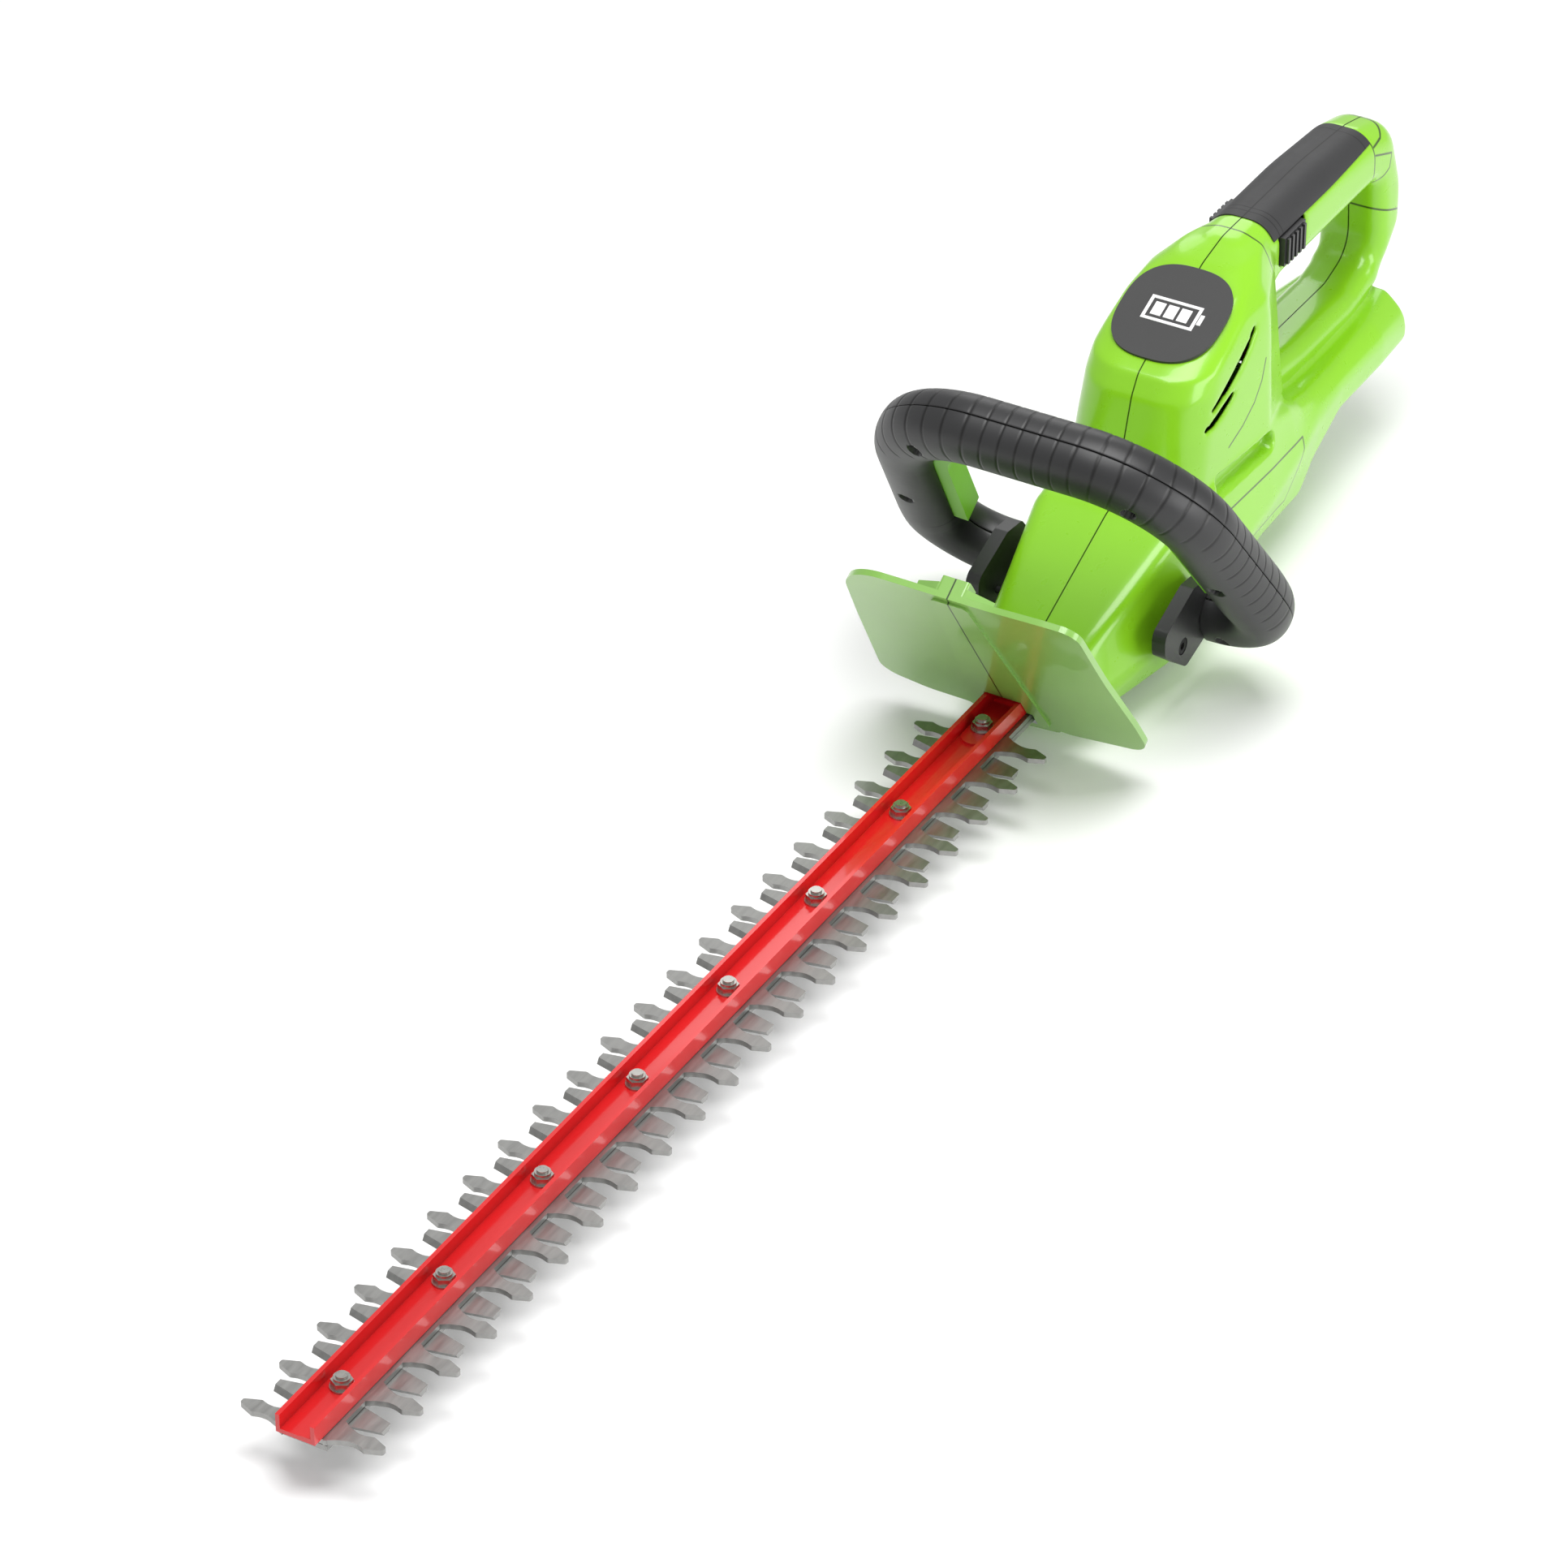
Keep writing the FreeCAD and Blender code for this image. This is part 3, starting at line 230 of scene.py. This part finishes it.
SIDE = (1, 0, 1)
SHELL_LINES = [
    side_run((-775, 146), (-775.5, 130), (-779, 112)),
    side_run((-892, 142), (-892, 108)),
    side_run((-917, 136), (-903, 131), (-893, 131)),
    side_run((-893, 127), (-911, 120), (-909, 113), (-895, 108)),
    side_run((-903, 92), (-935, 79)),
    side_run((-747, 98), (-743, 88), (-736, 80), (-725, 73.5), (-712, 69)),
    side_run((-692, 40.5), (-786, 35.5), (-786, 29), (-771, 8.4), (-700, 15), (-692, 21), (-692, 40.5))]
GRIP_LINES = [side_run((-793, 150), (-793, 128)), side_run((-796.5, 150), (-796.5, 128)),
              side_run((-886, 150), (-886, 128))]
CENTRE_LINE = [[(-900, 0, 0), (-780, 0, 0)]]
LIME = (0.235, 0.56, 0.012)
SEAM = [[(-1, 0, 0), (1, 0, 0)]]
MATERIALS = {
    "lime_gloss": plastic("lime_gloss", LIME, 0.28, grain=500.0, depth=0.000004, coat=0.35, variation=0.015,
                          lines=[(SHELL_LINES, SIDE, 0.45), (SEAM, (0, 1, 0), 0.3)]),
    # Guard: a paler, greyer green than the housing's lime, a painted reflection of the white surroundings on
    # its faces.
    "lime_guard": plastic("lime_guard", (0.20, 0.42, 0.07), 0.30, coat=0.6,
                          lines=[(SEAM, (0, 1, 0), 0.35)]),
    "lime_bar": plastic("lime_bar", (0.17, 0.45, 0.012), 0.4),
    "charcoal_plastic": plastic("charcoal_plastic", (0.021, 0.021, 0.022), 0.42, grain=1500.0,
                                depth=0.00004),
    "charcoal_badge": plastic("charcoal_badge", (0.036, 0.036, 0.036), 0.55, grain=1500.0),
    "grip_rubber": plastic("grip_rubber", (0.028, 0.028, 0.029), 0.58, grain=1800.0, depth=0.00008,
                           lines=[(GRIP_LINES, SIDE, 0.25), (CENTRE_LINE, (1, 1, 0), 0.3)]),
    "badge_white": plastic("badge_white", (0.85, 0.85, 0.85), 0.4),
    # Near black and non-metallic: partly the screws' dark finish, partly painted shade down their wells.
    "dark_screw_and_well_shade": metal("dark_screw_and_well_shade", (0.006, 0.006, 0.006), 0.8, metallic=0.0),
    "black_nylon": plastic("black_nylon", (0.02, 0.02, 0.02), 0.5),
    "board_green": plastic("board_green", (0.01, 0.08, 0.03), 0.3),
    "lead_red": plastic("lead_red", (0.4, 0.02, 0.02), 0.4),
    "bar_red": plastic("bar_red", (0.62, 0.008, 0.010), 0.25, grain=300.0, depth=0.00001, coat=0.5),
    "blade_steel": metal("blade_steel", (0.33, 0.33, 0.32), 0.42, stretch=(0.15, 1, 1)),
    "zinc_steel": metal("zinc_steel", (0.52, 0.51, 0.48), 0.28),
    "hard_steel": metal("hard_steel", (0.35, 0.35, 0.36), 0.35),
    "cast_alloy": metal("cast_alloy", (0.5, 0.5, 0.51), 0.5, scale=900.0),
    "bronze": metal("bronze", (0.55, 0.36, 0.14), 0.4, scale=900.0),
    "motor_steel": metal("motor_steel", (0.25, 0.25, 0.26), 0.35),
}
# Screws sunk in wells get the near-black matte material: partly a dark screw finish, partly painted shade
# for the deep wells.
SUNK_SCREWS = ("front_handle_screws", "bracket_screws", "housing_screws")
for part in frame["record"]["subparts"]:
    node = nodes[part["node"]]
    node.data.materials.clear()
    finish = "dark_screw_and_well_shade" if part["node"] in SUNK_SCREWS else part["material_slot"]
    node.data.materials.append(MATERIALS[finish])

# ---- front handle: two grooved half tubes swept along the loop ----
LOOP_LEAN = math.radians(35.6)
LOOP_FOOT = (-663.1, 0, 16.5)
LOOP_CORNERS = [(52.2, -5.7, 0), (86.6, -2.5, 29.5), (67.8, 137.8, 50), (0, 137.8, 0)]
LOOP_SCREWS = [(53, 132), (78.5, 66), (62, -5)]
TUBE_R = 15.6
TUBE_WALL = 2.6
RING_PITCH = 8.7
RING_DEPTH = 0.2
RING_HALF = 0.5              # half width of a ring groove
ROUND_COUNT = 48
ROUND_STEPS = [0, 0.3, *range(1, ROUND_COUNT), ROUND_COUNT - 0.3, ROUND_COUNT]
ROUTE_STEP = 0.32            # spacing of the sections along the loop
WELL_DEPTH = 7
WELL_RADIUS = 3.0
WELL_RIM = 3.5
BAR_START = 35.5             # height on the loop where the switch bar's slot begins
PARTING = math.radians(4)    # how far behind the tube's outermost line its halves meet


def on_loop(across, up, front):
    """A point on the leaning loop: across it, up its slope and out of its front."""
    s, c = math.sin(LOOP_LEAN), math.cos(LOOP_LEAN)
    return at(LOOP_FOOT[0] + s * up + c * front, across, LOOP_FOOT[2] + c * up - s * front)


def rounded_route(corners, step):
    """Points every step along straight runs and arcs, each with its heading."""
    route = []
    pen = Vector(corners[0][:2])
    for i in range(1, len(corners)):
        here = Vector(corners[i][:2])
        ahead = (here - pen).normalized()
        last = i == len(corners) - 1
        following = ahead if last else (Vector(corners[i + 1][:2]) - here).normalized()
        turn = ahead.angle(following)
        cut = corners[i][2] * math.tan(turn / 2)
        run = (here - pen).length - cut
        count = max(1, round(run / step))
        route += [(pen + ahead * (run * k / count), ahead) for k in range(count)]
        pen = here - ahead * cut
        count = round(corners[i][2] * turn / step)
        centre = pen + Vector((-ahead.y, ahead.x)) * corners[i][2]
        for k in range(count):
            spin = Matrix.Rotation(turn * k / count, 2)
            route.append((centre + spin @ (pen - centre), spin @ ahead))
        pen = here + following * cut
    return route + [(pen, ahead)]


def smooth_step(low, high, value):
    t = min(1.0, max(0.0, (value - low) / (high - low)))
    return t * t * (3 - 2 * t)


def tube_radius(angle, height):
    """Slightly square section, slimmer along the lower arms."""
    squarish = (abs(math.cos(angle)) ** 2.5 + abs(math.sin(angle)) ** 2.5) ** (-1 / 2.5)
    slim = 0.87 + 0.13 * smooth_step(0, 40, height)
    return TUBE_R * slim * (0.62 + 0.38 * squarish)


def ring_depth(along, angle, height):
    """Grip rings: all round the top bar, only round the outside of the arms."""
    reach = math.radians(52 + 60 * smooth_step(100, 134, height))
    fade = 1 - smooth_step(reach - 0.12, reach + 0.05, angle)
    low = smooth_step(18, 26, height)
    offset = (along + RING_PITCH / 2) % RING_PITCH - RING_PITCH / 2
    return fade * low * min(1, 1.6 * math.exp(-(offset / RING_HALF) ** 2))


def half_tube(name, side):
    """side 1 is the front half, -1 the rear half; each is a wall with rounded parting edges."""
    half = rounded_route(LOOP_CORNERS, ROUTE_STEP)
    route = half + [(Vector((-p.x, p.y)), Vector((h.x, -h.y))) for p, h in reversed(half[:-1])]
    mesh = bmesh.new()
    # Per-vertex darkness: painted shade in the grip-ring grooves and screw wells, plus the dark parting
    # edges.
    groove_shade_and_parting = mesh.verts.layers.float.new("groove")
    along = 0
    loops = []
    middle = sum((route[i + 1][0] - route[i][0]).length for i in range(len(half) - 1))
    for i, (p, heading) in enumerate(route):
        if i:
            along += (p - route[i - 1][0]).length
        outward = Vector((heading.y, -heading.x))
        opening = smooth_step(BAR_START - 0.5, BAR_START + 0.5, p.y)
        start_angle = math.radians(0.7) - side * PARTING
        end_angle = math.radians(179.2 - 23.2 * opening)
        ring = []
        for k in ROUND_STEPS:
            angle = start_angle + (end_angle - start_angle) * k / ROUND_COUNT
            ease = math.exp(-(k / 0.2) ** 2) + math.exp(-((ROUND_COUNT - k) / 0.2) ** 2)
            # Each ring groove is sunk into the surface and also painted dark as shade; the parting edges
            # round off and darken the same way.
            groove = ring_depth(along - middle, angle, p.y) + ease
            ring.append((angle, tube_radius(angle, p.y) - RING_DEPTH * groove, min(1, groove)))
        ring += [(a, r - TUBE_WALL, 0) for a, r, g in reversed(ring[::3])]
        made = []
        for angle, radius, dark in ring:
            spot = p + outward * (radius * math.cos(angle))
            front = radius * math.sin(angle)
            well = 0
            for y, t in LOOP_SCREWS:
                away = math.hypot(abs(spot.x) - y, spot.y - t)
                well = max(well, 1 - smooth_step(WELL_RADIUS, WELL_RIM, away))
            # Screw wells are pressed into the front half, their walls painted dark as shade.
            if side > 0 and front > 6:
                front -= WELL_DEPTH * well
                dark = max(dark, smooth_step(0, 0.05, well))
            vertex = mesh.verts.new(on_loop(spot.x, spot.y, side * front))
            vertex[groove_shade_and_parting] = dark
            made.append(vertex)
        loops.append(made)
    for a, b in zip(loops, loops[1:]):
        for k in range(len(a)):
            j = (k + 1) % len(a)
            mesh.faces.new((a[k], a[j], b[j], b[k]))
    mesh.faces.new(loops[0])
    mesh.faces.new(loops[-1])
    bmesh.ops.recalc_face_normals(mesh, faces=mesh.faces)
    return piece(name, mesh, "charcoal_plastic", "tool")


def front_handle():
    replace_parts(half_tube("front_handle_shell_front", 1), "front_handle_front")
    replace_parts(half_tube("front_handle_shell_rear", -1), "front_handle_rear")


# ---- housing: one smoothed skin from the two shells, carved and parted ----
VOXEL = 0.0009
SMOOTHING = 24
SEAM_HALF = 0.0002
CLOSING = 0.00008            # closes the gap between the shells before they are merged
POCKET_RUN = [(-702, 54.5), (-750, 51.5)]
POCKET_DEPTH = 6.0
POCKET_FLOOR = 3.4           # half width of its floor, then of its mouth
POCKET_MOUTH = 5.8


HUMP_REAR = -786.5
WALL_FRONT = -783.8
WALL_INNER = 10
WALL_ENDS = ((50, 25.0), (114, 18.2))    # height and half width at its foot and its top


def closing_wall(mesh, side):
    """A tapered wall just inside the rear face of the hump, which the CAD leaves open there."""
    low, high = [[mesh.verts.new(at(x, side * y, z)) for x, y in
                  ((HUMP_REAR, WALL_INNER), (WALL_FRONT, WALL_INNER), (WALL_FRONT, wide), (HUMP_REAR, wide))]
                 for z, wide in WALL_ENDS]
    faces = [mesh.faces.new(low), mesh.faces.new(high)]
    for k in range(4):
        j = (k + 1) % 4
        faces.append(mesh.faces.new((low[k], low[j], high[j], high[k])))
    bmesh.ops.recalc_face_normals(mesh, faces=faces)


def joined_copy(names, closing):
    """The nodes' meshes in one, each moved towards the parting plane so that they merge."""
    mesh = bmesh.new()
    for name, shift in zip(names, closing):
        before = len(mesh.verts)
        mesh.from_mesh(nodes[name].data)
        mesh.verts.ensure_lookup_table()
        for v in mesh.verts[before:]:
            v.co.y += shift
    for side in (1, -1):
        closing_wall(mesh, side)
    data = bpy.data.meshes.new("blank")
    mesh.to_mesh(data)
    mesh.free()
    return data


def softened(data, voxel, rounds):
    """A remeshed and smoothed copy."""
    blank = bpy.data.objects.new("blank", data)
    scene.collection.objects.link(blank)
    remesh = blank.modifiers.new("remesh", "REMESH")
    remesh.mode = "VOXEL"
    remesh.voxel_size = voxel
    smooth = blank.modifiers.new("smooth", "SMOOTH")
    smooth.factor = 0.5
    smooth.iterations = rounds
    made = bpy.data.meshes.new_from_object(blank.evaluated_get(bpy.context.evaluated_depsgraph_get()))
    bpy.data.objects.remove(blank)
    return made


def design_place(co):
    """Row-frame point to design millimetres."""
    return (co.x - TIP_X) * 1000, co.y * 1000, (co.z - BLADE_Z) * 1000


def run_distance(x, z, points):
    """Distance in the side view from a point to a line of points."""
    best = 1e9
    for (ax, az), (bx, bz) in zip(points, points[1:]):
        ux, uz = bx - ax, bz - az
        t = min(1, max(0, ((x - ax) * ux + (z - az) * uz) / (ux * ux + uz * uz)))
        best = min(best, math.hypot(x - ax - ux * t, z - az - uz * t))
    return best


def carve(mesh):
    """Presses the long finger pocket into both sides of the skin."""
    for v in mesh.verts:
        x, y, z = design_place(v.co)
        depth = 0
        if abs(y) > 24 and -775 < x < -680 and 44 < z < 62:
            off = run_distance(x, z, POCKET_RUN)
            depth = POCKET_DEPTH * (1 - smooth_step(POCKET_FLOOR, POCKET_MOUTH, off))
        if depth:
            v.co.y -= math.copysign(depth / 1000, y)


def housing_skin():
    blank = joined_copy(["housing_left", "housing_right"], [-CLOSING, CLOSING])
    skin = bmesh.new()
    skin.from_mesh(softened(blank, VOXEL, SMOOTHING))
    carve(skin)
    for side, name in ((1, "housing_left"), (-1, "housing_right")):
        half = skin.copy()
        bmesh.ops.bisect_plane(half, geom=half.verts[:] + half.edges[:] + half.faces[:],
                               plane_co=(0, side * SEAM_HALF, 0), plane_no=(0, side, 0), clear_inner=True)
        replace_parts(piece(name + "_skin", half, "lime_gloss", "tool"), name)
    skin.free()


BADGE_SLOPE = math.atan2(138.0 - 115.5, 748.0 - 691.0)


def on_badge(across, up, out):
    """A point on the sloping badge: across it, up its slope and above its face."""
    s, c = math.sin(BADGE_SLOPE), math.cos(BADGE_SLOPE)
    return at(-691.0 - c * up + s * out, across, 116.4 + s * up + c * out)


def badge_bar(mesh, left, right, low, high):
    """A raised bar with chamfered top edges."""
    rings = []
    for out, inset in ((-0.3, 0), (0.2, 0), (0.35, 0.15)):
        xs, ys = (left + inset, right - inset), (low + inset, high - inset)
        rings.append([mesh.verts.new(on_badge(x, y, out)) for x, y in
                      ((xs[0], ys[0]), (xs[1], ys[0]), (xs[1], ys[1]), (xs[0], ys[1]))])
    for a, b in zip(rings, rings[1:]):
        for k in range(4):
            mesh.faces.new((a[k], a[(k + 1) % 4], b[(k + 1) % 4], b[k]))
    mesh.faces.new(rings[0])
    mesh.faces.new(rings[-1])


def badge_icon():
    """A plain battery sign, raised a little from the badge."""
    mesh = bmesh.new()
    middle, wide, tall, line = 28.8, 13.0, 7.0, 1.6
    badge_bar(mesh, -wide, wide, middle - tall, middle - tall + line)
    badge_bar(mesh, -wide, wide, middle + tall - line, middle + tall)
    badge_bar(mesh, -wide, -wide + line, middle - tall + line, middle + tall - line)
    badge_bar(mesh, wide - line, wide, middle - tall + line, middle + tall - line)
    badge_bar(mesh, wide + 0.4, wide + 2.4, middle - 3, middle + 3)
    for k in range(3):
        left = -wide + 3.4 + 6.6 * k
        badge_bar(mesh, left, left + 5.2, middle - tall + 3.2, middle + tall - 3.2)
    bmesh.ops.recalc_face_normals(mesh, faces=mesh.faces)
    icon = piece("badge_icon", mesh, "charcoal_badge", "tool", material="badge_white")
    icon.data.shade_flat()


def eased_edges():
    """Small moulded and ground edge breaks on the carried-over CAD nodes."""
    widths = {"hand_guard_left": 0.0008, "hand_guard_right": 0.0008, "guide_channel": 0.0003,
              "handle_bracket_left": 0.0008, "handle_bracket_right": 0.0008, "lock_off_button": 0.0003,
              "rear_grip": 0.0004, "badge_plate": 0.0004, "switch_bar": 0.0025, "upper_blade": 0.00018,
              "lower_blade": 0.00018, "bar_bolts": 0.0002, "bar_nuts": 0.0003, "bar_washers": 0.0002}
    for name, width in widths.items():
        bevel = nodes[name].modifiers.new("edge", "BEVEL")
        bevel.width = width
        bevel.segments = 2
        bevel.limit_method = "ANGLE"
        bevel.angle_limit = math.radians(35)
        bevel.harden_normals = True


front_handle()
housing_skin()
badge_icon()
eased_edges()


# ---- floor, light and camera ----
floor_mesh = bpy.data.meshes.new("floor")
floor_mesh.from_pydata([(-6, -6, 0), (6, -6, 0), (6, 6, 0), (-6, 6, 0)], [], [(0, 1, 2, 3)])
floor = bpy.data.objects.new("floor", floor_mesh)
floor.location.z = -0.004
scene.collection.objects.link(floor)
floor_mat, fn, fl, fb = new_material("floor_paper")
fb.inputs["Roughness"].default_value = 0.9
fl.new(tinted(fn, fl, noise(fn, fl, coords(fn, fl, (1, 1, 1)), 3.0), (0.92, 0.92, 0.92), (0.94, 0.94, 0.94)),
       fb.inputs["Base Color"])
floor_mesh.materials.append(floor_mat)

world = bpy.data.worlds.new("studio")
world.use_nodes = True
world.node_tree.nodes["Background"].inputs["Color"].default_value = (1, 1, 1, 1)
world.node_tree.nodes["Background"].inputs["Strength"].default_value = 0.5
scene.world = world


def softbox(name, where, aim, size, power):
    lamp = bpy.data.lights.new(name, "AREA")
    lamp.shape = "RECTANGLE"
    lamp.size, lamp.size_y = size
    lamp.energy = power
    obj = bpy.data.objects.new(name, lamp)
    obj.location = where
    obj.rotation_euler = (Vector(aim) - Vector(where)).to_track_quat("-Z", "Y").to_euler()
    scene.collection.objects.link(obj)


softbox("top", (0.1, 0.1, 1.7), (0, 0, 0), (1.3, 1.0), 27)
softbox("left_side", (-0.2, 1.7, 0.6), (-0.2, 0, 0.05), (1.5, 0.7), 16)
softbox("behind", (-1.7, -0.7, 1.0), (-0.3, 0, 0.05), (0.9, 0.9), 5)

camera_data = bpy.data.cameras.new("camera")
camera_data.lens = 154.79
camera_data.sensor_width = 36.0
camera_data.clip_end = 50
camera = bpy.data.objects.new("camera", camera_data)
right = Vector((-0.49905, 0.86657, -0.00258))
down = Vector((0.49529, 0.28279, -0.82141))
ahead = Vector((-0.71108, -0.41120, -0.57033))
turn = Matrix((right, -down, -ahead)).transposed().to_4x4()
camera.matrix_world = Matrix.Translation(at(1642.5, 1161.5, 1690.7)) @ turn
scene.collection.objects.link(camera)
scene.camera = camera
scene.view_settings.view_transform = "Standard"
